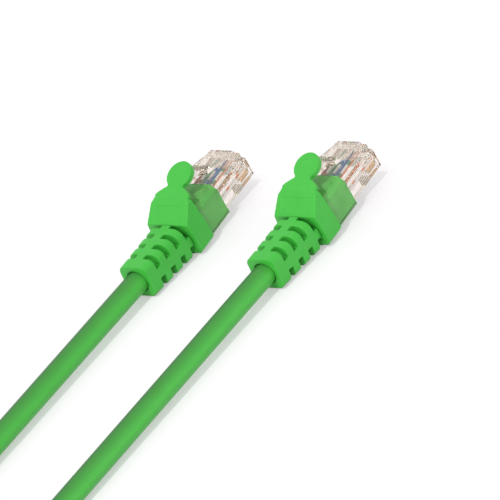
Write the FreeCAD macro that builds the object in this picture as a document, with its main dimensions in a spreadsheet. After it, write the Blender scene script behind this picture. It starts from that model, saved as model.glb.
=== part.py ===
# Ethernet patch cable, 0.3 m, with two moulded snagless 8P8C plugs, as a
# parametric document.  Millimetres, +X out of the plugs, +Y to the left
# of the plugs, +Z up (latch side).  The cable lies as a hairpin: two parallel
# leads joined by a half-turn loop.  Z = 0 is the surface it rests on.
#
# Three nested frames are used:
#   row frame   the cable plane tilted so that boots and loop both rest
#   end frame   x along the cable at one end, 0 at the rear face of the boot
#   plug frame  the end frame leaned nose-up about the front of the boot tail
import FreeCAD, Part
import Sketcher
import math
import os
from FreeCAD import Vector, Placement, Rotation

doc = FreeCAD.newDocument("ethernet_patch_cable")

# "half" is half a width in Y; "top", "bot" and "level" are heights from the cable's centre;
# plug_rear, jacket_end and fill_front are places along x in the plug frame
DIMENSIONS = [
    # cable
    ("cable_od", 5.2), ("jacket_bore", 4.36), ("insul_od", 0.80), ("core_od", 0.50),
    ("pair_radius", 1.20), ("pair_split", 0.86), ("pair_lay", 16.0),
    ("lead_gap", 33.5), ("end_stagger", 4.9), ("lead_len", 82.0), ("row_shift", 28.13),
    # boot tail
    ("collar_len", 3.1), ("collar_half", 3.95), ("tail_len", 15.4), ("tail_half", 5.15),
    ("tail_top", 4.35), ("tail_corner", 1.5), ("tail_round", 2.7),
    ("slot_pitch", 3.6), ("slot_wid", 1.55), ("sleeve_rad", 3.12), ("spine_half", 1.2),
    # boot hood and tab
    ("hood_len", 5.2), ("hood_half", 6.30), ("hood_top_half", 5.45), ("hood_rear_top", 4.3),
    ("hood_front_top", 8.3), ("tab_thick", 1.35), ("tab_slope", 20.8), ("tab_disc_rad", 3.35),
    ("tab_reach", 5.3), ("tab_neck", 2.2),
    # plug
    ("lean", 5.0), ("plug_rear", 18.6), ("plug_len", 21.5), ("nose_len", 11.9),
    ("plug_half", 5.84), ("plug_top_half", 4.46), ("rear_bot", -3.1), ("rear_top", 5.0),
    ("rear_side_top", 3.5), ("nose_bot", -2.1), ("nose_side_top", 2.04), ("nose_top", 3.65),
    ("root_half", 3.11), ("root_top", 4.5), ("wall", 0.85), ("floor_wall", 0.38),
    ("wire_level", 0.35), ("wire_pitch", 1.02), ("wire_slot_high", 0.96),
    ("wire_slot_half", 4.15), ("jacket_end", 24.4), ("fill_front", 28.5),
    ("blade_thick", 0.35), ("blade_len", 3.4), ("blade_high", 2.9), ("blade_front", 0.55),
    ("blade_recess", 0.30), ("blade_slot", 0.50),
    # latch
    ("latch_half", 3.11), ("latch_tail_half", 1.62), ("latch_thick", 0.80),
    ("latch_len", 14.6), ("latch_slope", 14.5), ("latch_step", 8.6),
]
sheet = doc.addObject("Spreadsheet::Sheet", "Dims")
for row, (alias, number) in enumerate(DIMENSIONS, start=1):
    sheet.set("A%d" % row, alias)
    sheet.set("B%d" % row, "%g" % number)
    sheet.setAlias("B%d" % row, alias)
doc.recompute()
dim = {alias: float(sheet.get(alias)) for alias, _ in DIMENSIONS}

# --------------------------------------------------------------------------
# frames
Y_AXIS = Vector(0, 1, 0)
Z_AXIS = Vector(0, 0, 1)
LOOP_RADIUS = dim["lead_gap"] / 2.0
JUNCTION_X = -dim["lead_len"]               # where the leads meet the loop, row frame
TILT = math.degrees(math.atan2(dim["collar_half"] - dim["cable_od"] / 2.0,
                               dim["lead_len"] + LOOP_RADIUS))
ROW = Placement(Vector(dim["row_shift"], 0, dim["collar_half"]), Rotation(Y_AXIS, -TILT))
ENDS = {"a": Vector(0, LOOP_RADIUS, 0), "b": Vector(dim["end_stagger"], -LOOP_RADIUS, 0)}

LEAN_PIVOT = Vector(dim["tail_len"], 0, 0)
NOSE_UP = Rotation(Y_AXIS, -dim["lean"])
LEAN = Placement(LEAN_PIVOT, NOSE_UP) * Placement(-LEAN_PIVOT, Rotation())

BEND_LENGTH = 4.0                           # the cable takes up the lean over this length
BEND_START = dim["tail_len"] - BEND_LENGTH / 2

# stations along an end
NOSE_X = dim["plug_rear"] + dim["plug_len"]
HAND_OVER_X = dim["collar_len"] + 1.5 * dim["slot_pitch"] + 0.5   # lead ends, cable end starts
FAN_START = dim["jacket_end"] - 0.2         # the twisted pairs begin to spread
FAN_STOP = dim["fill_front"] + 0.2          # the wires lie flat side by side
WIRE_STOP = NOSE_X - 0.95


def end_placement(tag):
    return ROW * Placement(ENDS[tag], Rotation())


def plug_placement(tag):
    return end_placement(tag) * LEAN


def lean_point(x, y, z):
    """Carry a point of the straight end onto the bent one."""
    full = math.radians(dim["lean"])
    if x <= BEND_START:
        return Vector(x, y, z)
    if x < BEND_START + BEND_LENGTH:
        radius = BEND_LENGTH / full
        angle = full * (x - BEND_START) / BEND_LENGTH
        return Vector(BEND_START + radius * math.sin(angle) - z * math.sin(angle), y,
                      radius * (1 - math.cos(angle)) + z * math.cos(angle))
    beyond = x - LEAN_PIVOT.x
    return Vector(LEAN_PIVOT.x + beyond * math.cos(full) - z * math.sin(full), y,
                  beyond * math.sin(full) + z * math.cos(full))


# --------------------------------------------------------------------------
# size expressions: sums of terms such as "plug_half - wall*0.5 + 0.3"
def split_terms(expr):
    """The signed terms of an expression, each a factor and an alias or None."""
    terms = []
    for term in expr.replace("-", "+-").split("+"):
        term = term.strip()
        if not term:
            continue
        factor, alias = 1.0, None
        if term.startswith("-"):
            factor, term = -1.0, term[1:]
        for piece in term.split("*"):
            piece = piece.strip()
            if piece in dim:
                alias = piece
            else:
                factor *= float(piece)
        terms.append((factor, alias))
    return terms


def value(expr):
    return sum(factor * (dim[alias] if alias else 1.0) for factor, alias in split_terms(expr))


def tie(expr):
    """The expression in the document's own syntax, bound to the sheet."""
    return " + ".join("(%.9g)" % factor + (" * Dims." + alias if alias else "")
                      for factor, alias in split_terms(expr))


def negative(expr):
    return "+".join("%.9g" % -factor + ("*" + alias if alias else "")
                    for factor, alias in split_terms(expr))


def mirrored(right):
    """Closed outline from its half at positive first coordinate, listed from the bottom up."""
    left = [(negative(y), z) for y, z in right]
    return left[:1] + right + left[:0:-1]


def shifted(points, x_start, z_start="0"):
    return [(x_start + " + " + x, z_start + " + " + z) for x, z in points]


# --------------------------------------------------------------------------
# parametric bodies
kept = []


def keep(obj):
    """List an object for export."""
    kept.append(obj)
    return obj


def new_body(label):
    return keep(doc.addObject("PartDesign::Body", label))


def origin_feature(body, role):
    return next(f for f in body.Origin.OriginFeatures if f.Role == role)


def new_sketch(body, plane, name, offset=None):
    """Sketch on a plane of the body.  YZ faces +X, XZ faces -Y and XY faces +Z."""
    sketch = body.newObject("Sketcher::SketchObject", name)
    sketch.AttachmentSupport = [(origin_feature(body, plane), "")]
    sketch.MapMode = "FlatFace"
    if offset:
        sketch.setExpression("AttachmentOffset.Base.z", tie(offset))
    return sketch


def closed_outline(sketch, points):
    count = len(points)
    for i in range(count):
        start, end = points[i], points[(i + 1) % count]
        sketch.addGeometry(Part.LineSegment(Vector(start[0], start[1], 0),
                                            Vector(end[0], end[1], 0)), False)
    for i in range(count):
        sketch.addConstraint(Sketcher.Constraint("Coincident", i, 2, (i + 1) % count, 1))


def tied_constraint(sketch, name, expr, *kind_and_places):
    index = sketch.addConstraint(Sketcher.Constraint(*kind_and_places, value(expr)))
    sketch.renameConstraint(index, name)
    sketch.setExpression("Constraints." + name, tie(expr))


def polygon(body, plane, name, points, offset=None):
    """Sketch of a closed outline; each corner is held by two distances tied to the sheet."""
    sketch = new_sketch(body, plane, name, offset)
    closed_outline(sketch, [(value(x), value(y)) for x, y in points])
    for i, (x, y) in enumerate(points):
        tied_constraint(sketch, "xc%d" % i, x, "DistanceX", -1, 1, i, 1)
        tied_constraint(sketch, "yc%d" % i, y, "DistanceY", -1, 1, i, 1)
    return sketch


def circle(body, plane, name, x, radius, offset=None):
    """Sketch of a circle centred on the first axis of the plane."""
    sketch = new_sketch(body, plane, name, offset)
    sketch.addGeometry(Part.Circle(Vector(value(x), 0, 0), Z_AXIS, value(radius)), False)
    tied_constraint(sketch, "xm0", x, "DistanceX", -1, 1, 0, 3)
    tied_constraint(sketch, "ym0", "0", "DistanceY", -1, 1, 0, 3)
    tied_constraint(sketch, "rad0", radius, "Radius", 0)
    return sketch


def extrude(kind, body, sketch, length, name, mid, rev):
    feature = body.newObject("PartDesign::" + kind, name)
    feature.Profile = sketch
    feature.Length = value(length)
    feature.setExpression("Length", tie(length))
    if mid:
        feature.SideType = "Symmetric"
    feature.Reversed = rev
    doc.recompute()
    return feature


def pad(body, sketch, length, name, mid=False, rev=False):
    return extrude("Pad", body, sketch, length, name, mid, rev)


def pocket(body, sketch, length, name, mid=False, rev=False):
    """Pocket that turns round when it meets no material on the first side."""
    before = body.Shape.Volume
    feature = extrude("Pocket", body, sketch, length, name, mid, rev)
    if body.Shape.Volume >= before - 1e-4:
        feature.Reversed = not rev
        doc.recompute()
    if body.Shape.Volume >= before - 1e-4:
        raise RuntimeError("pocket cut nothing: " + body.Label + " " + name)
    return feature


def eight_across(body, feature, name, landed):
    """Repeat a feature at the wire pitch, turned round if landed() says it went astray."""
    pattern = body.newObject("PartDesign::LinearPattern", name)
    pattern.Originals = [feature]
    pattern.Direction = (origin_feature(body, "Y_Axis"), [""])
    pattern.Occurrences = 8
    pattern.Length = 7 * dim["wire_pitch"]
    pattern.setExpression("Length", "7 * Dims.wire_pitch")
    body.Tip = pattern
    doc.recompute()
    if not landed():
        pattern.Reversed = True
        doc.recompute()
    if not landed():
        raise RuntimeError("pattern went astray: " + name)


def fixed_feature(label, shape, placement):
    feature = keep(doc.addObject("Part::Feature", label))
    feature.Shape = shape
    feature.Placement = placement


# --------------------------------------------------------------------------
# swept round pieces: jackets, insulation and cores
def spline_edge(points):
    curve = Part.BSplineCurve()
    curve.interpolate(points)
    return curve.toShape()


def rings_along(edge, radius, spacing):
    """Circles of two half arcs, carried along a space curve without twist."""
    count = max(8, int(edge.Length / spacing))
    inner_stops = [edge.getParameterByLength(edge.Length * i / count) for i in range(1, count)]
    side = None
    rings = []
    for stop in [edge.FirstParameter] + inner_stops + [edge.LastParameter]:
        centre, tangent = edge.valueAt(stop), edge.tangentAt(stop)
        if side is None:
            side = tangent.cross(Z_AXIS).normalize()
        side = (side - tangent * side.dot(tangent)).normalize()
        up = tangent.cross(side)
        quarters = [centre + side * radius, centre + up * radius,
                    centre - side * radius, centre - up * radius]
        rings.append(Part.Wire([
            Part.Arc(quarters[0], quarters[1], quarters[2]).toShape(),
            Part.Arc(quarters[2], quarters[3], quarters[0]).toShape()]))
    return rings


def outward(solid):
    if solid.Volume < 0:
        solid.reverse()
    return solid


def rod_along(edge, radius, spacing=0.75):
    return outward(Part.makeLoft(rings_along(edge, radius, spacing), True, False))


def tube_along(edge, outer, inner, spacing=0.75):
    """Round tube along a space curve: two skins joined by a flat ring at each end."""
    big = rings_along(edge, outer, spacing)
    small = rings_along(edge, inner, spacing)
    faces = Part.makeLoft(big, False, False).Faces + Part.makeLoft(small, False, False).Faces
    for k in (0, -1):
        faces.append(Part.makeFace([big[k], small[k]], "Part::FaceMakerBullseye"))
    shell = Part.makeShell(faces)
    shell.sewShape()
    solid = outward(Part.makeSolid(shell.Shells[0]))
    if not solid.isValid() or not solid.isClosed():
        raise RuntimeError("tube skin does not close")
    return solid


# --------------------------------------------------------------------------
# the eight wires
# name, place round the cable's centre in degrees, and how the two wires lie where they
# begin to spread, so that the eight fan out flat without crossing one another
PAIRS = [("blue", 270.0, math.pi), ("orange", 180.0, 0.0),
         ("green", 90.0, 0.0), ("brown", 0.0, 0.0)]
# wire name, index in PAIRS and which wire of the pair, from pin 1 up;
# seen from behind, latch up, pin 1 is on the right
PINS = [("white_orange", 1, 1), ("orange", 1, 0), ("white_green", 2, 1), ("blue", 0, 0),
        ("white_blue", 0, 1), ("green", 2, 0), ("white_brown", 3, 1), ("brown", 3, 0)]


def pair_point(pair, half, distance):
    """Sideways and upward offset of a wire, distance mm forward of the hand-over."""
    _, degrees, phase = PAIRS[pair]
    place = math.radians(degrees)
    lay = dim["pair_lay"] * (0.90 + 0.08 * pair)    # each pair has its own lay
    free = FAN_START - HAND_OVER_X
    turn = 2 * math.pi * (distance - free) / lay + (math.pi if half else 0.0) + phase
    return (dim["pair_radius"] * math.cos(place) + 0.5 * dim["pair_split"] * math.cos(turn),
            dim["pair_radius"] * math.sin(place) + 0.5 * dim["pair_split"] * math.sin(turn))


def end_wire_points(pin, pair, half):
    """A wire from the hand-over, through the jacket, fanning into its slot in the plug."""
    twist_steps, fan_steps, flat_steps = 26, 8, 6
    points = []
    for i in range(twist_steps + 1):
        x = HAND_OVER_X + (FAN_START - HAND_OVER_X) * i / twist_steps
        side, up = pair_point(pair, half, x - HAND_OVER_X)
        points.append((x, side, up))
    # side and up now hold the wire's place at the start of the fan
    pin_y = (pin - 4.5) * dim["wire_pitch"]
    for i in range(1, fan_steps + 1):
        part = i / fan_steps
        eased = part * part * (3 - 2 * part)
        points.append((FAN_START + (FAN_STOP - FAN_START) * part,
                       side + (pin_y - side) * eased,
                       up + (dim["wire_level"] - up) * eased))
    for i in range(1, flat_steps + 1):
        points.append((FAN_STOP + (WIRE_STOP - FAN_STOP) * i / flat_steps,
                       pin_y, dim["wire_level"]))
    return [lean_point(*point) for point in points]


# --------------------------------------------------------------------------
# outlines and places shared by the plug and the boot
NOSE = "plug_rear + plug_len"               # front face of the plug
LEVER_ROOT = NOSE + " - 0.9"                # where the latch lever leaves its root
SLOT_TOP = "wire_level + wire_slot_high*0.5"
CABLE_HOLE = "cable_od*0.5 + 0.12"          # radius, with clearance
FIRST_BLADE = "3.5*wire_pitch"              # XZ plane offset, so y = -3.5 pitches

REAR_OUTLINE = mirrored([("plug_half", "rear_bot"), ("plug_half", "rear_side_top"),
                         ("plug_top_half", "rear_top")])
CAVITY_OUTLINE = mirrored([("plug_half - wall", "rear_bot + floor_wall"),
                           ("plug_half - wall", "rear_side_top - 0.3"),
                           ("plug_top_half - 0.5", "rear_top - wall")])


def plug_housing(tag):
    """Clear housing, open at the back, with slots for the wires and the blades."""
    body = new_body("plug_housing_" + tag)
    sketch = polygon(body, "YZ_Plane", "rear_section_" + tag, REAR_OUTLINE, "plug_rear")
    pad(body, sketch, "plug_len - nose_len", "rear_block_" + tag)
    nose = mirrored([("plug_half", "nose_bot"), ("plug_half", "nose_side_top"),
                     ("plug_top_half", "nose_side_top + 0.45"), ("plug_top_half", "nose_top")])
    sketch = polygon(body, "YZ_Plane", "nose_section_" + tag, nose, NOSE + " - nose_len")
    pad(body, sketch, "nose_len", "nose_block_" + tag)

    # latch root: a bar across the front of the nose top
    root = shifted([("-2.0", "nose_top - 0.5"), ("0", "nose_top - 0.5"), ("0", "root_top - 0.25"),
                    ("-0.25", "root_top"), ("-0.9", "root_top"),
                    ("-0.9", "root_top - latch_thick"), ("-2.0", "nose_top - 0.05")], NOSE)
    sketch = polygon(body, "XZ_Plane", "root_profile_" + tag, root)
    pad(body, sketch, "root_half*2", "latch_root_" + tag, mid=True)

    round_front_corners(body, tag)

    sketch = polygon(body, "YZ_Plane", "cavity_section_" + tag, CAVITY_OUTLINE, "plug_rear")
    pocket(body, sketch, "fill_front - plug_rear + 0.05", "rear_cavity_" + tag, rev=True)

    # flat slot that holds the eight wires side by side
    slot = mirrored([("wire_slot_half", "wire_level - wire_slot_high*0.5"),
                     ("wire_slot_half", SLOT_TOP)])
    sketch = polygon(body, "YZ_Plane", "wire_slot_section_" + tag, slot, "fill_front")
    pocket(body, sketch, NOSE + " - fill_front - 0.85", "wire_slot_" + tag, rev=True)

    # eight narrow slots for the contact blades, open below and at the front foot
    slot = shifted([("-blade_front - blade_len - 0.2", "nose_bot - 0.5"),
                    ("0.5", "nose_bot - 0.5"), ("0.5", "nose_bot + 1.5"),
                    ("-blade_front + 0.12", "nose_bot + 1.5"),
                    ("-blade_front + 0.12", SLOT_TOP + " + 0.45"),
                    ("-blade_front - blade_len - 0.2", SLOT_TOP + " + 0.45")], NOSE)
    sketch = polygon(body, "XZ_Plane", "blade_slot_profile_" + tag, slot, FIRST_BLADE)
    first = pocket(body, sketch, "blade_slot", "blade_slot_" + tag, mid=True)
    one_slot = body.Shape.Volume
    eight_across(body, first, "blade_slots_" + tag,
                 lambda: body.Shape.Volume <= one_slot - 1.0)

    # shallow window of the pressed-in anchor bar, on the underside
    window = shifted([("4.2", "-2.4"), ("7.4", "-2.4"), ("7.4", "2.4"), ("4.2", "2.4")],
                     "plug_rear")
    sketch = polygon(body, "XY_Plane", "anchor_window_outline_" + tag, window, "rear_bot")
    pocket(body, sketch, "0.22", "anchor_window_" + tag)
    body.Placement = plug_placement(tag)


def round_front_corners(body, tag):
    """Round the two upright front corners of the nose."""
    def is_corner(edge):
        if len(edge.Vertexes) != 2:
            return False
        run = edge.Vertexes[1].Point - edge.Vertexes[0].Point
        if run.Length < 1e-6 or abs(abs(run.z) / run.Length - 1.0) >= 1e-4:
            return False
        centre = edge.CenterOfMass
        return (abs(centre.x - NOSE_X) < 0.01
                and abs(abs(centre.y) - dim["plug_half"]) < 0.01)

    base = body.Tip
    corners = ["Edge%d" % i for i, edge in enumerate(base.Shape.Edges, start=1)
               if is_corner(edge)]
    fillet = body.newObject("PartDesign::Fillet", "front_corners_" + tag)
    fillet.Base = (base, corners)
    fillet.Radius = 0.6
    doc.recompute()


def latch_lever(tag):
    """Lever rising backward from the root, wide to the catch step and narrow behind it."""
    body = new_body("latch_lever_" + tag)
    slope = math.tan(math.radians(dim["latch_slope"]))
    step, length = dim["latch_step"], dim["latch_len"]

    def top(back):
        return dim["root_top"] + back * slope

    def under(back):
        return top(back) - dim["latch_thick"]

    # distance back from the root, height; the catch step stands proud of the wide part,
    # where it snaps behind the jack's ledge
    profile = [(0, under(0)), (0, top(0)), (step - 1.4, top(step - 1.4)),
               (step - 1.4, top(step - 1.4) + 0.75), (step, top(step) + 0.35),
               (step, top(step)), (length, top(length)), (length, under(length) + 0.1),
               (step, under(step))]
    sketch = new_sketch(body, "XZ_Plane", "lever_profile_" + tag)
    closed_outline(sketch, [(value(LEVER_ROOT) - back, z) for back, z in profile])
    pad(body, sketch, "latch_half*2", "lever_plate_" + tag, mid=True)

    left = shifted([("-latch_step", "latch_half + 1.0"), ("-latch_len - 1.0", "latch_half + 1.0"),
                    ("-latch_len - 1.0", "latch_tail_half"),
                    ("-latch_step - 1.6", "latch_tail_half"), ("-latch_step", "latch_half")],
                   LEVER_ROOT)
    right = [(x, negative(y)) for x, y in left]
    for side, trim in (("left", left), ("right", right)):
        sketch = polygon(body, "XY_Plane", "tail_trim_%s_%s" % (side, tag), trim,
                         "root_top - 3.0")
        pocket(body, sketch, "12", "tail_cut_%s_%s" % (side, tag), rev=True)
    body.Placement = plug_placement(tag)


def contact_blades(tag):
    """Eight gold blades, each with two points that reach up into its wire."""
    body = new_body("contact_blades_" + tag)
    body.AllowCompound = True
    # x from the blade's front edge, z from its foot
    profile = shifted([("-blade_len", "0.5"), ("-blade_len + 0.5", "0"), ("-0.7", "0"),
                       ("0", "0.7"), ("0", "1.9"), ("-0.5", "blade_high - 0.9"),
                       ("-0.95", "blade_high"), ("-1.4", "blade_high - 0.9"),
                       ("-2.0", "blade_high - 0.9"), ("-2.45", "blade_high"),
                       ("-2.9", "blade_high - 0.9"), ("-blade_len", "1.9")],
                      NOSE + " - blade_front", "nose_bot + blade_recess")
    sketch = polygon(body, "XZ_Plane", "blade_profile_" + tag, profile, FIRST_BLADE)
    first = pad(body, sketch, "blade_thick", "blade_" + tag, mid=True)
    eight_across(body, first, "blades_" + tag,
                 lambda: body.Shape.BoundBox.YMax <= 5 and body.Shape.BoundBox.YMin >= -5)
    body.Placement = plug_placement(tag)


def boot_hood(tag):
    """Block round the rear of the plug, its top sloping down to the back."""
    body = new_body("boot_hood_" + tag)
    section = mirrored([("hood_half - 0.9", "-collar_half"), ("hood_half", "-collar_half + 0.9"),
                        ("hood_half", "1.0"), ("hood_top_half", "hood_front_top - 1.0"),
                        ("hood_top_half - 1.0", "hood_front_top")])
    sketch = polygon(body, "YZ_Plane", "hood_section_" + tag, section, "tail_len")
    pad(body, sketch, "hood_len", "hood_block_" + tag)

    slope = shifted([("-1.0", "hood_rear_top - 1.0"), ("hood_len - 0.5", "hood_front_top"),
                     ("hood_len - 0.5", "hood_front_top + 2.0"), ("-1.0", "hood_front_top + 2.0")],
                    "tail_len")
    sketch = polygon(body, "XZ_Plane", "hood_slope_profile_" + tag, slope)
    pocket(body, sketch, "20", "hood_slope_" + tag, mid=True)

    sketch = polygon(body, "YZ_Plane", "hood_mouth_section_" + tag, REAR_OUTLINE, "plug_rear")
    pocket(body, sketch, "6", "hood_mouth_" + tag, rev=True)
    sketch = circle(body, "YZ_Plane", "hood_bore_section_" + tag, "0", CABLE_HOLE,
                    "tail_len - 1.0")
    pocket(body, sketch, "8", "hood_bore_" + tag, rev=True)
    body.Placement = plug_placement(tag)


def boot_core(tag):
    """First-shot filling inside the plug's rear cavity, with room for the fanned wires."""
    body = new_body("boot_core_" + tag)
    sketch = polygon(body, "YZ_Plane", "core_section_" + tag, CAVITY_OUTLINE, "plug_rear")
    pad(body, sketch, "fill_front - plug_rear", "core_block_" + tag)
    sketch = circle(body, "YZ_Plane", "core_bore_section_" + tag, "0", CABLE_HOLE,
                    "plug_rear - 1.0")
    pocket(body, sketch, "jacket_end - plug_rear + 1.1", "core_bore_" + tag, rev=True)

    # name, bottom, top and depth forward of the jacket's end
    for name, bottom, top, depth in (("fan_room", "-1.75", "1.75", "3"),
                                     ("fan_mouth", "wire_level - 0.9", "wire_level + 0.9", "6")):
        section = mirrored([("wire_slot_half", bottom), ("wire_slot_half", top)])
        sketch_name = "%s_%s" % (name.replace("room", "section").replace(
            "mouth", "mouth_section"), tag)
        sketch = polygon(body, "YZ_Plane", sketch_name, section, "jacket_end")
        pocket(body, sketch, depth, "%s_%s" % (name, tag), rev=True)

    sketch = circle(body, "YZ_Plane", "fan_neck_section_" + tag, "0", "jacket_bore*0.5 + 0.1",
                    "jacket_end")
    pocket(body, sketch, "1.6", "fan_neck_" + tag, rev=True)
    body.Placement = plug_placement(tag)


def boot_tab(tag):
    """Lollipop tab over the latch, rising forward from the top front edge of the hood."""
    body = new_body("boot_tab_" + tag)
    left = [("0", "hood_top_half - 0.4"), ("0.9", "hood_top_half - 1.0"),
            ("1.7", "hood_top_half - 2.1"), ("2.3", "tab_neck"), ("tab_reach", "tab_neck")]
    outline = [(x, negative(y)) for x, y in left] + left[::-1]
    sketch = polygon(body, "XY_Plane", "tab_shoulder_outline_" + tag, outline)
    pad(body, sketch, "tab_thick", "tab_shoulder_" + tag, rev=True)
    sketch = circle(body, "XY_Plane", "tab_disc_outline_" + tag, "tab_reach", "tab_disc_rad")
    pad(body, sketch, "tab_thick", "tab_disc_" + tag, rev=True)
    hood_front = dim["tail_len"] + dim["hood_len"]
    lift = Placement(Vector(hood_front + 0.05, 0, dim["hood_front_top"]),
                     Rotation(Y_AXIS, -dim["tab_slope"]))
    body.Placement = plug_placement(tag) * lift


# --------------------------------------------------------------------------
# boot tail, from plain solids and booleans
def block(name, size, corner):
    box = doc.addObject("Part::Box", name)
    for side, expr in zip(("Length", "Width", "Height"), size):
        box.setExpression(side, tie(expr))
    for axis, expr in zip("xyz", corner):
        box.setExpression("Placement.Base." + axis, tie(expr))
    return box


def long_cylinder(name, radius):
    """Cylinder along x that overshoots both ends of the tail."""
    cylinder = doc.addObject("Part::Cylinder", name)
    cylinder.setExpression("Radius", tie(radius))
    cylinder.setExpression("Height", tie("tail_len + 10"))
    cylinder.Placement = Placement(Vector(-5, 0, 0), Rotation(Y_AXIS, 90))
    return cylinder


def fuse(name, shapes):
    fusion = doc.addObject("Part::MultiFuse", name)
    fusion.Shapes = shapes
    return fusion


def cut(name, base, tool):
    difference = doc.addObject("Part::Cut", name)
    difference.Base = base
    difference.Tool = tool
    return difference


def tail_ring(name, x, half, top, top_radius):
    """Rounded section of the tail at x: five points on each corner."""
    bottom, low_radius = -dim["collar_half"], dim["tail_corner"]
    # corner centre y and z, radius, first angle
    corners = [(half - low_radius, bottom + low_radius, low_radius, -90.0),
               (half - top_radius, top - top_radius, top_radius, 0.0),
               (-half + top_radius, top - top_radius, top_radius, 90.0),
               (-half + low_radius, bottom + low_radius, low_radius, 180.0)]
    points = []
    for y, z, radius, first_angle in corners:
        for k in range(5):
            angle = math.radians(first_angle + 22.5 * k)
            points.append((y + radius * math.cos(angle), z + radius * math.sin(angle)))
    sketch = doc.addObject("Sketcher::SketchObject", name)
    sketch.Placement = Placement(Vector(x, 0, 0), Rotation(Vector(1, 1, 1), 120))
    closed_outline(sketch, points)
    return sketch


def boot_tail(tag):
    """Tapered tail, slotted at its four corners between a sleeve and two crossed spines."""
    cone = doc.addObject("Part::Loft", "tail_cone_" + tag)
    cone.Sections = [
        tail_ring("tail_ring_rear_" + tag, 0.0, dim["collar_half"], dim["collar_half"],
                  dim["tail_corner"] * 1.1),
        tail_ring("tail_ring_front_" + tag, dim["tail_len"] + 0.8, dim["tail_half"],
                  dim["tail_top"], dim["tail_round"])]
    cone.Solid = True
    cone.Ruled = True

    spared = fuse("tail_keep_" + tag, [
        long_cylinder("tail_sleeve_" + tag, "sleeve_rad"),
        block("tail_spine_upright_" + tag, ("tail_len + 10", "2*spine_half", "20"),
              ("-5", "-spine_half", "-10")),
        block("tail_spine_level_" + tag, ("tail_len + 10", "20", "2*spine_half"),
              ("-5", "-10", "-spine_half"))])
    slots = fuse("tail_slots_" + tag, [
        block("tail_slot_%d_%s" % (k + 1, tag), ("slot_wid", "20", "20"),
              ("collar_len + %d*slot_pitch" % k, "-10", "-10")) for k in range(4)])
    corners = cut("tail_corners_" + tag, slots, spared)
    ribbed = cut("tail_ribbed_" + tag, cone, corners)
    bored = cut("tail_bored_" + tag, ribbed, long_cylinder("tail_bore_" + tag, CABLE_HOLE))

    # the front is trimmed along the hood's leaning rear face
    trim = doc.addObject("Part::Box", "tail_trim_" + tag)
    trim.Length = 8
    trim.Width = 30
    trim.Height = 30
    trim.Placement = (Placement(LEAN_PIVOT, NOSE_UP)
                      * Placement(Vector(-0.02, -15, -15), Rotation()))
    tail = keep(cut("boot_tail_" + tag, bored, trim))
    tail.Placement = end_placement(tag)


# --------------------------------------------------------------------------
def cable_end(tag):
    """Jacket and wires from the hand-over to the plug, bent with the boot."""
    placement = end_placement(tag)
    # just short of the bend's far end, so that the point still lies on the arc
    bend_stop = BEND_START + 3.999999
    start, bend_in, bend_mid, bend_out, stop = [
        lean_point(x, 0, 0) for x in (HAND_OVER_X, BEND_START, BEND_START + BEND_LENGTH / 2,
                                      bend_stop, dim["jacket_end"])]
    path = Part.Wire([Part.LineSegment(start, bend_in).toShape(),
                      Part.Arc(bend_in, bend_mid, bend_out).toShape(),
                      Part.LineSegment(bend_out, stop).toShape()])

    def along_path(radius):
        ring = Part.Wire(Part.Edge(Part.Circle(start, Vector(1, 0, 0), radius)))
        return path.makePipeShell([ring], True, False)

    jacket = along_path(dim["cable_od"] / 2).cut(along_path(dim["jacket_bore"] / 2))
    fixed_feature("jacket_end_" + tag, jacket, placement)

    cores = []
    for pin, (name, pair, half) in enumerate(PINS, start=1):
        edge = spline_edge(end_wire_points(pin, pair, half))
        insulation = rod_along(edge, dim["insul_od"] / 2)
        core = rod_along(edge, dim["core_od"] / 2)
        cores.append(core)
        fixed_feature("wire_%s_%s" % (name, tag), insulation.cut(core), placement)
    fixed_feature("conductors_" + tag, Part.makeCompound(cores), placement)


def cable_section(name, station, length):
    """A run of cable.  station(s) gives the centre, the sideways unit vector and the lay
    distance forward of the hand-over, s mm from the start of the run."""
    count = max(12, int(length / 1.1))
    stations = [station(length * i / count) for i in range(count + 1)]
    edge = spline_edge([centre for centre, _, _ in stations])
    jacket = tube_along(edge, dim["cable_od"] / 2, dim["jacket_bore"] / 2)
    fixed_feature("jacket_" + name, jacket, ROW)
    cores = []
    for pair, (pair_name, _, _) in enumerate(PAIRS):
        wires = []
        for half in (0, 1):
            points = []
            for centre, side, distance in stations:
                sideways, upward = pair_point(pair, half, distance)
                points.append(centre + side * sideways + Z_AXIS * upward)
            edge = spline_edge(points)
            wires.append(tube_along(edge, dim["insul_od"] / 2, dim["core_od"] / 2, 1.2))
            cores.append(rod_along(edge, dim["core_od"] / 2, 1.2))
        fixed_feature("%s_pair_%s" % (pair_name, name), Part.makeCompound(wires), ROW)
    fixed_feature("conductors_" + name, Part.makeCompound(cores), ROW)


def lead(tag):
    """Straight run from the hand-over back to the loop, with a small gap at each end."""
    gap = 0.02
    end = ENDS[tag]
    start_x = end.x + HAND_OVER_X - gap

    def station(s):
        return Vector(start_x - s, end.y, 0), Y_AXIS, -s - gap
    cable_section("lead_" + tag, station, start_x - (JUNCTION_X + gap))


def loop():
    """Half turn behind the leads, from lead a round to lead b."""
    def station(s):
        angle = s / LOOP_RADIUS
        centre = Vector(JUNCTION_X - LOOP_RADIUS * math.sin(angle),
                        LOOP_RADIUS * math.cos(angle), 0)
        side = Vector(-math.sin(angle), math.cos(angle), 0)
        return centre, side, -(dim["lead_len"] + HAND_OVER_X) - s
    cable_section("loop", station, math.pi * LOOP_RADIUS)


for tag in ENDS:
    for build in (plug_housing, latch_lever, contact_blades, boot_hood, boot_core, boot_tab,
                  boot_tail, cable_end):
        build(tag)
for tag in ENDS:
    lead(tag)
loop()

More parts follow.
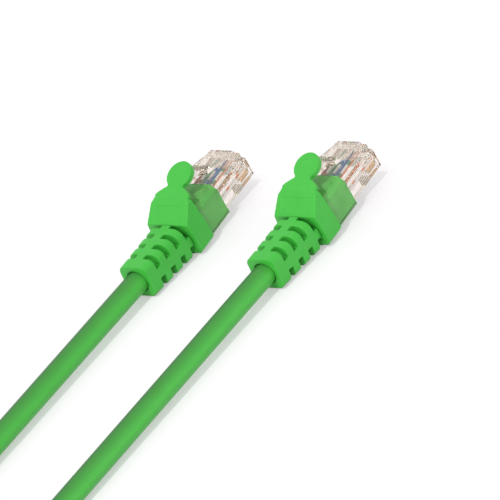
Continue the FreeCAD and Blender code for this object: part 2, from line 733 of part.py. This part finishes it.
# --------------------------------------------------------------------------
doc.recompute()
failed = [o.Label for o in doc.Objects if "Invalid" in o.State or "Error" in o.State]
if failed:
    raise RuntimeError("failed objects: " + ", ".join(failed))
for piece in kept:
    if piece.Shape.isNull() or not piece.Shape.isValid():
        raise RuntimeError("bad shape: " + piece.Label)
    if piece.Shape.Volume <= 0:
        raise RuntimeError("empty or inside-out shape: " + piece.Label)

os.makedirs("parts", exist_ok=True)
for piece in kept:
    piece.Shape.exportStep("parts/%s.step" % piece.Label)
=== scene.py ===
"""A green cable with a clear plug and a green boot at each end, laid in a long U.

The two ends, a (+Y) and b (-Y), lie side by side with their plugs towards +X. The
cable runs back along -X to a half-circle loop whose far end rests on z = 0.
Lengths are in mm until a mesh is finished; node materials and modifiers use metres.

Frames, from the inside out:
  plug frame   along a plug, leaning up from the cable about BEND_X
  end frame    along one cable end, its origin at END_AT in the cable plane
  cable plane  tilted about Y by TILT
  row frame    the scene itself
"""

import math

import bmesh
import bpy
import numpy as np
from mathutils import Matrix, Vector

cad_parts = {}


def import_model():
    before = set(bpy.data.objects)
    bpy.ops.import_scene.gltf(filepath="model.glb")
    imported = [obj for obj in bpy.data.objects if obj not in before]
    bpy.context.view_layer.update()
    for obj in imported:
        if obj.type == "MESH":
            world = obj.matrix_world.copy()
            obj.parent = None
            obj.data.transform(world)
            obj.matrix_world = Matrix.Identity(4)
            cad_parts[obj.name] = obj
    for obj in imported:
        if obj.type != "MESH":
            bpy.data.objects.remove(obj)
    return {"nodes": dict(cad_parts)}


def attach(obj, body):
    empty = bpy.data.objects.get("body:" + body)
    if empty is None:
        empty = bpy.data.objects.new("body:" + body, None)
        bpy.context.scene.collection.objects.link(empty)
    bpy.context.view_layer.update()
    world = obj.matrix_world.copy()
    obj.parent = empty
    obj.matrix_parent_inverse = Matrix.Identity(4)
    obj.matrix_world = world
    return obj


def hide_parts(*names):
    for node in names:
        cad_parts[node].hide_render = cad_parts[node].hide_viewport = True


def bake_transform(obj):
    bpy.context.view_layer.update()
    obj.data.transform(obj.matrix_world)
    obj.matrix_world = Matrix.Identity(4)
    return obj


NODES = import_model()["nodes"]
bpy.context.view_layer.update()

# ---------------------------------------------------------------------------
# sizes, mm
MM = 0.001  # metres in a mm
TAGS = ("a", "b")

CABLE_R = 2.6
CABLE_BORE_R = 2.18
LOOP_R = 16.75
LOOP_X = -82.0  # the leads meet the loop here, cable plane
LIFT = 3.95  # height of the cable plane's origin
BASE = Vector((28.13, 0, LIFT))
TILT = math.atan2(LIFT - CABLE_R, LOOP_R - LOOP_X)  # brings the loop down to z = 0
END_AT = {"a": Vector((0, LOOP_R, 0)), "b": Vector((4.9, -LOOP_R, 0))}

# along X in an end frame
LEAN = math.radians(5.0)
BEND_X = 15.4
BEND_LENGTH = 4.0
SPLIT_X = 9.0  # the lead's skin ends, the plug end's skin starts
SPLIT_GAP = 0.02
CABLE_END_X = 24.4

LOOP_STEPS = 30
LEAD_STEPS = 110
END_STEPS = 60

# boot moulding
VOXEL = 0.125
SMOOTH_ROUNDS = 5
CREASE_ROUNDS = 14


# ---------------------------------------------------------------------------
# frames
def tip(point, angle):
    """Turn about Y, +X towards +Z."""
    cos, sin = math.cos(angle), math.sin(angle)
    return Vector((point[0] * cos - point[2] * sin, point[1], point[0] * sin + point[2] * cos))


def row_pt(point):
    """Cable plane to row frame."""
    return tip(point, TILT) + BASE


def end_pt(tag, point):
    """End frame to row frame."""
    return row_pt(Vector(point) + END_AT[tag])


def plug_pt(tag, point):
    """Plug frame to row frame."""
    bend = Vector((BEND_X, 0, 0))
    return end_pt(tag, tip(Vector(point) - bend, LEAN) + bend)


def plug_frame(tag):
    """Origin and axes (rows) of the plug frame, so that local = (p - origin) @ axes.T."""
    origin = np.array(plug_pt(tag, (0, 0, 0)))
    axes = [np.array(plug_pt(tag, v)) - origin for v in ((1, 0, 0), (0, 1, 0), (0, 0, 1))]
    return origin, np.array(axes)


def ease(t):
    """Smooth step from 0 to 1."""
    t = np.clip(t, 0, 1)
    return t * t * (3 - 2 * t)


def box_step(value, low, high, margin):
    """1 inside low..high, eased to 0 over the margin outside."""
    return ease((value - (low - margin)) / margin) * ease(((high + margin) - value) / margin)


# ---------------------------------------------------------------------------
# material helpers
def srgb(*rgb):
    """0-255 sRGB to linear RGBA."""
    parts = [v / 255.0 for v in rgb]
    return tuple(v / 12.92 if v <= 0.04045 else ((v + 0.055) / 1.055) ** 2.4
                 for v in parts) + (1.0,)


class Mat:
    """A small builder of node materials. Inputs take a value or a socket."""

    def __init__(self, name):
        self.material = bpy.data.materials.new(name)
        self.material.use_nodes = True
        self.tree = self.material.node_tree
        self.tree.nodes.clear()
        self.out = self.add("ShaderNodeOutputMaterial")

    def add(self, kind, **props):
        node = self.tree.nodes.new(kind)
        for key, value in props.items():
            setattr(node, key, value)
        return node

    def feed(self, socket, value):
        if isinstance(value, (int, float, tuple)):
            socket.default_value = value
        else:
            self.tree.links.new(value, socket)

    def coords(self):
        return self.add("ShaderNodeTexCoord").outputs["Object"]

    def noise(self, scale, detail=2.0, roughness=0.5, vector=None):
        node = self.add("ShaderNodeTexNoise")
        self.feed(node.inputs["Scale"], scale)
        self.feed(node.inputs["Detail"], detail)
        self.feed(node.inputs["Roughness"], roughness)
        self.feed(node.inputs["Vector"], vector or self.coords())
        return node.outputs["Fac"]

    def ramp(self, factor, stops):
        """Stops are (position, RGBA)."""
        node = self.add("ShaderNodeValToRGB")
        elements = node.color_ramp.elements
        while len(elements) < len(stops):
            elements.new(0.5)
        for element, (position, color) in zip(elements, stops):
            element.position = position
            element.color = color
        self.feed(node.inputs["Fac"], factor)
        return node.outputs["Color"]

    def mix(self, factor, first, second, mode="MIX"):
        node = self.add("ShaderNodeMix", data_type="RGBA", blend_type=mode)
        for index, value in ((0, factor), (6, first), (7, second)):
            self.feed(node.inputs[index], value)
        return node.outputs[2]

    def math(self, operation, first, second=0.0, clamp=False):
        node = self.add("ShaderNodeMath", operation=operation, use_clamp=clamp)
        self.feed(node.inputs[0], first)
        self.feed(node.inputs[1], second)
        return node.outputs[0]

    def remap(self, value, factor, shift, clamp=False):
        """value * factor + shift"""
        return self.math("ADD", self.math("MULTIPLY", value, factor), shift, clamp)

    def facing(self, normal, direction):
        """0 to 1 as the normal turns towards a direction."""
        node = self.add("ShaderNodeVectorMath", operation="DOT_PRODUCT")
        self.feed(node.inputs[0], normal)
        self.feed(node.inputs[1], direction)
        return self.remap(node.outputs["Value"], factor=0.5, shift=0.5)

    def bump(self, height, strength, distance=0.00002):
        node = self.add("ShaderNodeBump")
        self.feed(node.inputs["Strength"], strength)
        self.feed(node.inputs["Distance"], distance)
        self.feed(node.inputs["Height"], height)
        return node.outputs["Normal"]

    def shader(self, kind, **inputs):
        node = self.add("ShaderNode" + kind)
        for key, value in inputs.items():
            self.feed(node.inputs[key.replace("_", " ")], value)
        return node.outputs[0]

    def mix_shader(self, factor, first, second):
        node = self.add("ShaderNodeMixShader")
        for socket, value in zip(node.inputs, (factor, first, second)):
            self.feed(socket, value)
        return node.outputs[0]

    def finish(self, shader):
        self.feed(self.out.inputs["Surface"], shader)
        return self.material


# ---------------------------------------------------------------------------
# materials
# painted shade on the cable's skin: a colour multiplier, darkest where the skin faces away from
# this way, as if lit from it
SKIN_PAINTED_LIGHT_WAY = (-0.35, -0.80, -0.48)
SKIN_PAINTED_SHADE_TONES = [
    (0.08, (0.34, 0.28, 0.36, 1)), (0.21, (0.43, 0.36, 0.44, 1)), (0.31, (0.58, 0.50, 0.58, 1)),
    (0.49, (0.74, 0.62, 0.70, 1)), (0.645, (0.86, 0.78, 0.82, 1)), (0.78, (1.0, 0.94, 0.96, 1)),
    (0.845, (0.94, 0.98, 0.88, 1)), (0.90, (0.86, 0.94, 0.78, 1)), (0.96, (0.80, 0.80, 0.76, 1))]
# the painted shade goes to one even tone where the skin faces away from this direction
SKIN_PAINTED_SHADE_EVEN_FROM = (-0.59, -0.65, 0.48)
SKIN_PAINTED_SHADE_EVEN_TONE = (0.86, 0.80, 0.84, 1.0)

# painted shade in hollows: a colour multiplier by ambient occlusion, deep hollows first
PAINTED_HOLLOW_SHADE_REACH = 0.0016
PAINTED_HOLLOW_SHADE_TONES = [(0.22, (0.16, 0.34, 0.16, 1)), (0.58, (0.74, 0.82, 0.74, 1)),
                (0.85, (1, 1, 1, 1))]


def paint_skin_shade(mat, color):
    """Painted shade on the extruded skin: darker along one side as if lit from the other, one
    even tone on the far side.
    """
    normal = mat.add("ShaderNodeNewGeometry").outputs["Normal"]
    # painted shade: a colour multiplier by how the skin faces the painted light
    tone = mat.ramp(mat.facing(normal, SKIN_PAINTED_LIGHT_WAY), SKIN_PAINTED_SHADE_TONES)
    even = mat.ramp(mat.facing(normal, SKIN_PAINTED_SHADE_EVEN_FROM),
                    [(0.28, (1, 1, 1, 1)), (0.47, (0, 0, 0, 1))])
    # the far side gets one even painted shade
    tone = mat.mix(even, tone, SKIN_PAINTED_SHADE_EVEN_TONE)
    return mat.mix(1.0, color, tone, "MULTIPLY")


def paint_hollow_shade(mat, color):
    """Painted shade, darker in slots and recesses."""
    node = mat.add("ShaderNodeAmbientOcclusion", samples=6)
    mat.feed(node.inputs["Distance"], PAINTED_HOLLOW_SHADE_REACH)
    # multiply the painted shade into the colour
    return mat.mix(1.0, color, mat.ramp(node.outputs["AO"], PAINTED_HOLLOW_SHADE_TONES), "MULTIPLY")


def green_pvc(name, deep, base, light, roughness, grain, painted_shade=None):
    """Soft moulded PVC: faint mottling, a satin skin with fine grain, and painted shade where it
    is asked for.
    """
    mat = Mat(name)
    coords = mat.coords()
    mottled = mat.noise(scale=260.0, detail=3.0, roughness=0.55, vector=coords)
    color = mat.ramp(mottled, [(0.25, deep), (0.50, base), (0.80, light)])
    # painted shade, where it is asked for
    if painted_shade:
        color = painted_shade(mat, color)
    fine = mat.noise(scale=5200.0, roughness=0.6, vector=coords)
    flow = mat.noise(scale=900.0, vector=coords)
    height = mat.math("ADD", mat.math("MULTIPLY", fine, 0.6), mat.math("MULTIPLY", flow, 0.8))
    return mat.finish(mat.shader(
        "BsdfPrincipled", Base_Color=color,
        Roughness=mat.remap(flow, factor=0.16, shift=roughness - 0.08, clamp=True),
        Normal=mat.bump(height, strength=grain), IOR=1.46, Specular_IOR_Level=0.35))


def clear_plastic(name):
    """Clear moulded plastic: darker rims, faint haze; shadow and diffuse rays pass through."""
    mat = Mat(name)
    coords = mat.coords()
    tint = (0.994, 0.977, 0.959, 1)
    rim = (0.86, 0.83, 0.79, 1)
    weight = mat.add("ShaderNodeLayerWeight")
    mat.feed(weight.inputs["Blend"], 0.40)
    flow = mat.noise(scale=520.0, detail=3.0, roughness=0.6, vector=coords)
    streak = mat.noise(scale=2600.0, vector=coords)
    height = mat.math("ADD", flow, mat.math("MULTIPLY", streak, 0.2))
    normal = mat.bump(height, strength=0.10, distance=0.00005)
    edge = mat.ramp(weight.outputs["Facing"],
                    [(0.0, tint), (0.72, tint), (0.95, rim), (1.0, rim)])
    glass = mat.shader("BsdfGlass", IOR=1.47, Roughness=0.0, Color=edge, Normal=normal)
    milk = mat.shader("BsdfDiffuse", Color=(0.80, 0.74, 0.68, 1))
    haze = mat.math("MULTIPLY", flow, 0.07)
    skin = mat.mix_shader(haze, glass, milk)
    path = mat.add("ShaderNodeLightPath").outputs
    passing = mat.math("MAXIMUM", path["Is Shadow Ray"], path["Is Diffuse Ray"])
    clear = mat.shader("BsdfTransparent", Color=(0.93, 0.928, 0.925, 1))
    return mat.finish(mat.mix_shader(passing, skin, clear))


def metal(name, wear_scale, wear_detail, tones, least_roughness, relief, scratch_scale=None):
    """Worn metal; its relief is the wear itself, or scratches of their own scale."""
    mat = Mat(name)
    coords = mat.coords()
    worn = mat.noise(wear_scale, wear_detail, roughness=0.6, vector=coords)
    color = mat.ramp(worn, tones)
    height = mat.noise(scratch_scale, vector=coords) if scratch_scale else worn
    return mat.finish(mat.shader(
        "BsdfPrincipled", Base_Color=color, Metallic=1.0,
        Roughness=mat.remap(worn, factor=0.2, shift=least_roughness),
        Normal=mat.bump(height, strength=relief)))


def wire_skin(name, base, band_color=None):
    """Wire insulation, plain or with short coloured bands along X."""
    mat = Mat(name)
    coords = mat.coords()
    soft = mat.noise(scale=800.0, vector=coords)
    dark = tuple(v * 0.86 for v in base[:3]) + (1.0,)
    color = mat.ramp(soft, [(0.3, dark), (0.6, base)])
    if band_color:
        band_pitch = 0.0042
        split = mat.add("ShaderNodeSeparateXYZ")
        mat.feed(split.inputs[0], coords)
        wave = mat.math("SINE", mat.math("MULTIPLY", split.outputs["X"],
                                         2 * math.pi / band_pitch))
        band = mat.ramp(wave, [(0.55, (0, 0, 0, 1)), (0.66, (1, 1, 1, 1))])
        color = mat.mix(band, color, band_color)
    return mat.finish(mat.shader(
        "BsdfPrincipled", Base_Color=color,
        Roughness=mat.remap(soft, factor=0.15, shift=0.30),
        Normal=mat.bump(mat.noise(scale=4000.0), strength=0.08), IOR=1.5))


def floor_paper():
    """White sheet that glows a little except to diffuse rays, so its shadows stay pale."""
    mat = Mat("floor_paper")
    color = mat.ramp(mat.noise(scale=60.0),
                     [(0.3, (0.925, 0.925, 0.93, 1)), (0.7, (0.94, 0.94, 0.945, 1))])
    sheet = mat.shader("BsdfPrincipled", Base_Color=color, Roughness=0.9,
                       Specular_IOR_Level=0.1)
    matt = mat.shader("BsdfDiffuse", Color=(0.560, 0.535, 0.560, 1))
    glow = mat.shader("Emission", Color=(1.0, 1.0, 1.0, 1), Strength=0.426)
    lit = mat.add("ShaderNodeAddShader")
    mat.feed(lit.inputs[0], matt)
    mat.feed(lit.inputs[1], glow)
    path = mat.add("ShaderNodeLightPath").outputs
    mat.material.cycles.emission_sampling = "NONE"
    return mat.finish(mat.mix_shader(path["Is Diffuse Ray"], lit.outputs[0], sheet))


# painted shade: in the boot's hollows, and along one side of the cable's skin
BOOT = green_pvc("boot_pvc", deep=srgb(67, 183, 65), base=srgb(69, 186, 67),
                 light=srgb(71, 189, 70), roughness=0.42, grain=0.25, painted_shade=paint_hollow_shade)
CORE = green_pvc("core_pvc", deep=srgb(68, 168, 58), base=srgb(80, 184, 68),
                 light=srgb(96, 196, 82), roughness=0.45, grain=0.25)
CABLE = green_pvc("cable_pvc", deep=srgb(76, 186, 72), base=srgb(78, 189, 74),
                  light=srgb(80, 192, 76), roughness=0.38, grain=0.18, painted_shade=paint_skin_shade)
CLEAR = clear_plastic("clear_polycarbonate_look")
GOLD = metal("gold_contact_look", wear_scale=1500.0, wear_detail=4.0,
             tones=[(0.2, srgb(188, 150, 104)), (0.5, srgb(224, 192, 150)),
                    (0.8, srgb(240, 216, 184))],
             least_roughness=0.18, relief=0.15, scratch_scale=7000.0)
COPPER = metal("copper_look", wear_scale=2500.0, wear_detail=3.0,
               tones=[(0.25, srgb(166, 92, 56)), (0.6, srgb(206, 126, 82)),
                      (0.85, srgb(226, 154, 110))],
               least_roughness=0.22, relief=0.1)
WHITE = srgb(236, 230, 224)
TONES = {"blue": srgb(58, 108, 168), "orange": srgb(226, 116, 58),
         "green": srgb(62, 140, 86), "brown": srgb(158, 84, 66)}
WIRES = {}
for tone, rgba in TONES.items():
    WIRES[tone] = wire_skin("insulation_" + tone, rgba)
    WIRES["white_" + tone] = wire_skin("insulation_white_" + tone, WHITE, rgba)


# ---------------------------------------------------------------------------
# CAD nodes kept as they are
def give(obj, material):
    obj.data.materials.clear()
    obj.data.materials.append(material)


def smooth_by_angle(mesh, degrees):
    if "custom_normal" in mesh.attributes:
        mesh.attributes.remove(mesh.attributes["custom_normal"])
    mesh.shade_smooth()
    mesh.set_sharp_from_angle(angle=math.radians(degrees))


def dress_node(name, material, bevel=0.0, swell=0.0):
    """Material and shading, then rounded edges on a slightly swollen body if asked (mm)."""
    obj = NODES[name]
    give(obj, material)
    smooth_by_angle(obj.data, 28.0)
    if not bevel:
        return
    weld = obj.modifiers.new("weld", "WELD")
    weld.merge_threshold = 2e-6
    if swell:
        bonded = obj.modifiers.new("bonded", "DISPLACE")
        bonded.strength = swell * MM
        bonded.mid_level = 0.0
    edges = obj.modifiers.new("round_edges", "BEVEL")
    edges.width = bevel * MM
    edges.segments = 2
    edges.limit_method = "ANGLE"
    edges.angle_limit = math.radians(32)
    edges.use_clamp_overlap = True
    edges.harden_normals = True


def dress_nodes():
    for tag in TAGS:
        dress_node("plug_housing_" + tag, CLEAR, bevel=0.10)
        dress_node("latch_lever_" + tag, CLEAR, bevel=0.09)
        dress_node("contact_blades_" + tag, GOLD, bevel=0.03)
        dress_node("boot_core_" + tag, CORE, bevel=0.16, swell=0.02)
        dress_node("conductors_" + tag, COPPER)
        for wire, material in WIRES.items():
            dress_node(f"wire_{wire}_{tag}", material)
    for section in ("lead_a", "lead_b", "loop"):
        dress_node("conductors_" + section, COPPER)
        for tone in TONES:
            dress_node(f"{tone}_pair_{section}", WIRES[tone])


# ---------------------------------------------------------------------------
# mesh helpers, in mm
def mesh_of(bm, name):
    mesh = bpy.data.meshes.new(name)
    bm.to_mesh(mesh)
    bm.free()
    return mesh


def link(name, data):
    obj = bpy.data.objects.new(name, data)
    bpy.context.scene.collection.objects.link(obj)
    return obj


def add_object(mesh, name, material):
    obj = link(name, mesh)
    give(obj, material)
    return obj


def to_metres(mesh):
    mesh.transform(Matrix.Scale(MM, 4))
    mesh.update()


def coords_of(mesh):
    coords = np.zeros(len(mesh.vertices) * 3)
    mesh.vertices.foreach_get("co", coords)
    return coords.reshape(-1, 3)


def prism(bm, outline, low, high, carry):
    """Closed prism: outline in local XY, low to high along local Z, placed by carry()."""
    bottom = [bm.verts.new(carry(Vector((x, y, low)))) for x, y in outline]
    top = [bm.verts.new(carry(Vector((x, y, high)))) for x, y in outline]
    bm.faces.new(list(reversed(bottom)))
    bm.faces.new(top)
    for i in range(len(outline)):
        j = (i + 1) % len(outline)
        bm.faces.new([bottom[i], bottom[j], top[j], top[i]])


def from_node(bm, name):
    """Add a CAD node's mesh, welded, in mm."""
    welded = bmesh.new()
    welded.from_mesh(NODES[name].data)
    bmesh.ops.remove_doubles(welded, verts=welded.verts, dist=1e-6)
    verts = [bm.verts.new(v.co * (1 / MM)) for v in welded.verts]
    for face in welded.faces:
        # a face that repeats another, or repeats a vertex, is refused and left out
        try:
            bm.faces.new([verts[v.index] for v in face.verts])
        except ValueError:
            pass
    welded.free()


def soften(bm, name):
    """One moulding out of overlapping closed solids: voxel skin, then rounded edges."""
    obj = link(name + "_raw", mesh_of(bm, name + "_raw"))
    skin = obj.modifiers.new("skin", "REMESH")
    skin.mode = "VOXEL"
    skin.voxel_size = VOXEL
    skin.use_smooth_shade = True
    rounding = obj.modifiers.new("round", "SMOOTH")
    rounding.factor = 0.5
    rounding.iterations = SMOOTH_ROUNDS
    depsgraph = bpy.context.evaluated_depsgraph_get()
    mesh = bpy.data.meshes.new_from_object(obj.evaluated_get(depsgraph))
    mesh.name = name
    bpy.data.objects.remove(obj)
    return mesh


# ---------------------------------------------------------------------------
# cable: a round skin from the middle of the loop up into each boot
def tube(name, frames, around):
    """Closed pipe through frames of (centre, side, up)."""
    bm = bmesh.new()
    rings = []
    for centre, side, up in frames:
        outer, inner = [], []
        for k in range(around):
            angle = 2 * math.pi * k / around
            spoke = side * math.cos(angle) + up * math.sin(angle)
            outer.append(bm.verts.new(centre + spoke * CABLE_R))
            inner.append(bm.verts.new(centre + spoke * CABLE_BORE_R))
        rings.append((outer, inner))
    for (outer, inner), (next_outer, next_inner) in zip(rings, rings[1:]):
        for k in range(around):
            j = (k + 1) % around
            bm.faces.new([outer[k], outer[j], next_outer[j], next_outer[k]])
            bm.faces.new([inner[j], inner[k], next_inner[k], next_inner[j]])
    for (outer, inner), flip in ((rings[0], False), (rings[-1], True)):
        for k in range(around):
            j = (k + 1) % around
            rim = [outer[j], outer[k], inner[k], inner[j]]
            bm.faces.new(list(reversed(rim)) if flip else rim)
    bmesh.ops.recalc_face_normals(bm, faces=bm.faces)
    mesh = mesh_of(bm, name)
    to_metres(mesh)
    smooth_by_angle(mesh, 50)
    return add_object(mesh, name, CABLE)


def build_lead(tag):
    """Half of the loop and the straight lead."""
    y = END_AT[tag].y
    sign = math.copysign(1.0, y)
    up = tip(Vector((0, 0, 1)), TILT)
    frames = []
    for i in range(LOOP_STEPS):
        angle = math.pi / 2 * (1 - i / LOOP_STEPS)
        cos, sin = math.cos(angle), math.sin(angle)
        frames.append((row_pt(Vector((LOOP_X - LOOP_R * sin, y * cos, 0))),
                       tip(Vector((-sign * sin, cos, 0)), TILT), up))
    length = END_AT[tag].x + SPLIT_X - LOOP_X
    for i in range(LEAD_STEPS + 1):
        frames.append((row_pt(Vector((LOOP_X + length * i / LEAD_STEPS, y, 0))),
                       tip(Vector((0, 1, 0)), TILT), up))
    skin = tube("cable_skin_" + tag, frames, around=48)
    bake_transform(skin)
    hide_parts("jacket_loop", "jacket_lead_" + tag)


def build_cable_end(tag):
    """The short length inside the boot and plug, easing into the plug's lean."""
    frames = []
    start = SPLIT_X + SPLIT_GAP
    for i in range(END_STEPS + 1):
        x = start + (CABLE_END_X - start) * i / END_STEPS
        t = float(ease((x - (BEND_X - BEND_LENGTH / 2)) / BEND_LENGTH))
        centre = end_pt(tag, (x, 0, 0)) * (1 - t) + plug_pt(tag, (x, 0, 0)) * t
        frames.append((centre, Vector((0, 1, 0)), tip(Vector((0, 0, 1)), TILT + LEAN * t)))
    skin = tube("cable_end_skin_" + tag, frames, around=40)
    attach(skin, "plug_end_" + tag)
    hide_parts("jacket_end_" + tag)


# ---------------------------------------------------------------------------
# boots, plug frame
# neck: outline and heights in the tab's own frame, which is tipped at NECK_AT
NECK_AT = Vector((20.65, 0, 8.3))
NECK_TIP = math.radians(20.8)
NECK_OUTLINE = [(-0.75, -4.7), (0.35, -4.55), (0.9, -3.9), (0.9, 3.9), (0.35, 4.55), (-0.75, 4.7)]
NECK_Z = (-1.35, -0.02)
# heel: solid block under the neck, where the tab grows out of the hood
HEEL_OUTLINE = [(19.75, -4.4), (20.85, -4.4), (20.85, 4.4), (19.75, 4.4)]
HEEL_Z = (6.6, 8.2)
# the hood's sloping top: foot (x, z) and angle
SLOPE_FOOT = (14.4, 3.3)
SLOPE = math.atan2(5.0, 5.7)
PANEL_DEPTH = 0.10


def melt_crease(mesh, tag):
    """Smooth the crease where the tab grows out of the hood."""
    origin, axes = plug_frame(tag)
    x, y, z = ((coords_of(mesh) - origin) @ axes.T).T
    chosen = (19.3 < x) & (x < 22.4) & (z > 7.0) & (abs(y) < 5.4)
    bm = bmesh.new()
    bm.from_mesh(mesh)
    near = [v for v, hit in zip(bm.verts, chosen) if hit]
    for _ in range(CREASE_ROUNDS):
        bmesh.ops.smooth_vert(bm, verts=near, factor=0.5,
                              use_axis_x=True, use_axis_y=True, use_axis_z=True)
    bm.to_mesh(mesh)
    bm.free()


def sink_panel(mesh, tag):
    """Press a shallow rectangular panel into the sloping top."""
    origin, axes = plug_frame(tag)
    coords = coords_of(mesh)
    x, y, z = ((coords - origin) @ axes.T).T
    dx, dz = x - SLOPE_FOOT[0], z - SLOPE_FOOT[1]
    cos, sin = math.cos(SLOPE), math.sin(SLOPE)
    along = dx * cos + dz * sin
    above = -dx * sin + dz * cos
    inside = box_step(along, 2.6, 5.6, margin=0.16) * box_step(y, -4.0, 4.0, margin=0.2)
    shift = -PANEL_DEPTH * inside * box_step(above, -0.35, 0.6, margin=0.25)
    coords = coords + shift[:, None] * (np.array([-sin, 0.0, cos]) @ axes)
    mesh.vertices.foreach_set("co", coords.astype(np.float32).ravel())
    mesh.update()


def build_hood(tag):
    """Hood and tab, one moulding that bends at the tab's neck."""
    name = "boot_hood_skin_" + tag
    bm = bmesh.new()
    from_node(bm, "boot_hood_" + tag)
    from_node(bm, "boot_tab_" + tag)
    prism(bm, NECK_OUTLINE, *NECK_Z, lambda p: plug_pt(tag, tip(p, NECK_TIP) + NECK_AT))
    prism(bm, HEEL_OUTLINE, *HEEL_Z, lambda p: plug_pt(tag, p))
    mesh = soften(bm, name)
    melt_crease(mesh, tag)
    sink_panel(mesh, tag)
    to_metres(mesh)
    hood = add_object(mesh, name, BOOT)
    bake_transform(hood)
    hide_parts("boot_hood_" + tag, "boot_tab_" + tag)


def build_tail(tag):
    """The slotted tail, between the lead and the plug."""
    name = "boot_tail_skin_" + tag
    bm = bmesh.new()
    from_node(bm, "boot_tail_" + tag)
    mesh = soften(bm, name)
    to_metres(mesh)
    tail = add_object(mesh, name, BOOT)
    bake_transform(tail)
    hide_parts("boot_tail_" + tag)


# ---------------------------------------------------------------------------
# floor, light and camera
def build_floor():
    half, z = 3, -0.0002  # metres
    bm = bmesh.new()
    corners = ((-half, -half), (half, -half), (half, half), (-half, half))
    bm.faces.new([bm.verts.new((x, y, z)) for x, y in corners])
    add_object(mesh_of(bm, "floor"), "floor", floor_paper())


def build_lights():
    world = bpy.data.worlds.new("studio")
    bpy.context.scene.world = world
    world.use_nodes = True
    background = world.node_tree.nodes["Background"]
    background.inputs["Color"].default_value = (1.0, 1.0, 1.0, 1)
    background.inputs["Strength"].default_value = 0.78

    sun = bpy.data.lights.new("key", "SUN")
    sun.energy = 1.35
    sun.angle = math.radians(3.0)
    key = link("key", sun)
    towards_sun = Vector((-2.49, -0.6, 4.0)).normalized()
    key.rotation_mode = "QUATERNION"
    key.rotation_quaternion = towards_sun.to_track_quat("Z", "Y")


def build_camera():
    """A long lens, looking down on the plugs."""
    half_angle = math.radians(1.2)
    half_width = 55.090348  # mm seen either side of the aim
    aim_right, aim_up = 24.768621, 7.0074923  # aim from the origin of end a, mm
    right = tip(Vector((0.5323, -0.7596, -0.3740)), TILT).normalized()
    up = tip(Vector((0.6060, 0.0382, 0.7947)), TILT)
    up = (up - right * up.dot(right)).normalized()
    back = right.cross(up)

    camera = bpy.data.cameras.new("camera")
    camera.sensor_width = 36.0
    camera.lens = camera.sensor_width / 2 / math.tan(half_angle)
    camera.clip_start = 0.01
    camera.clip_end = 10.0
    obj = link("camera", camera)
    aim = end_pt("a", (0, 0, 0)) + right * aim_right + up * aim_up
    pose = Matrix((right, up, back)).transposed().to_4x4()
    pose.translation = aim * MM + back * (half_width * MM / math.tan(half_angle))
    obj.matrix_world = pose
    bpy.context.scene.camera = obj


def set_render():
    scene = bpy.context.scene
    scene.view_settings.view_transform = "Standard"
    scene.view_settings.look = "None"
    # enough bounces to see through both walls of the clear plugs
    scene.cycles.transparent_max_bounces = 40
    scene.cycles.transmission_bounces = 24
    scene.cycles.max_bounces = 32
    scene.cycles.glossy_bounces = 24


dress_nodes()
for tag in TAGS:
    build_lead(tag)
    build_cable_end(tag)
for tag in TAGS:
    build_hood(tag)
    build_tail(tag)
build_floor()
build_lights()
build_camera()
set_render()

bpy.context.view_layer.update()
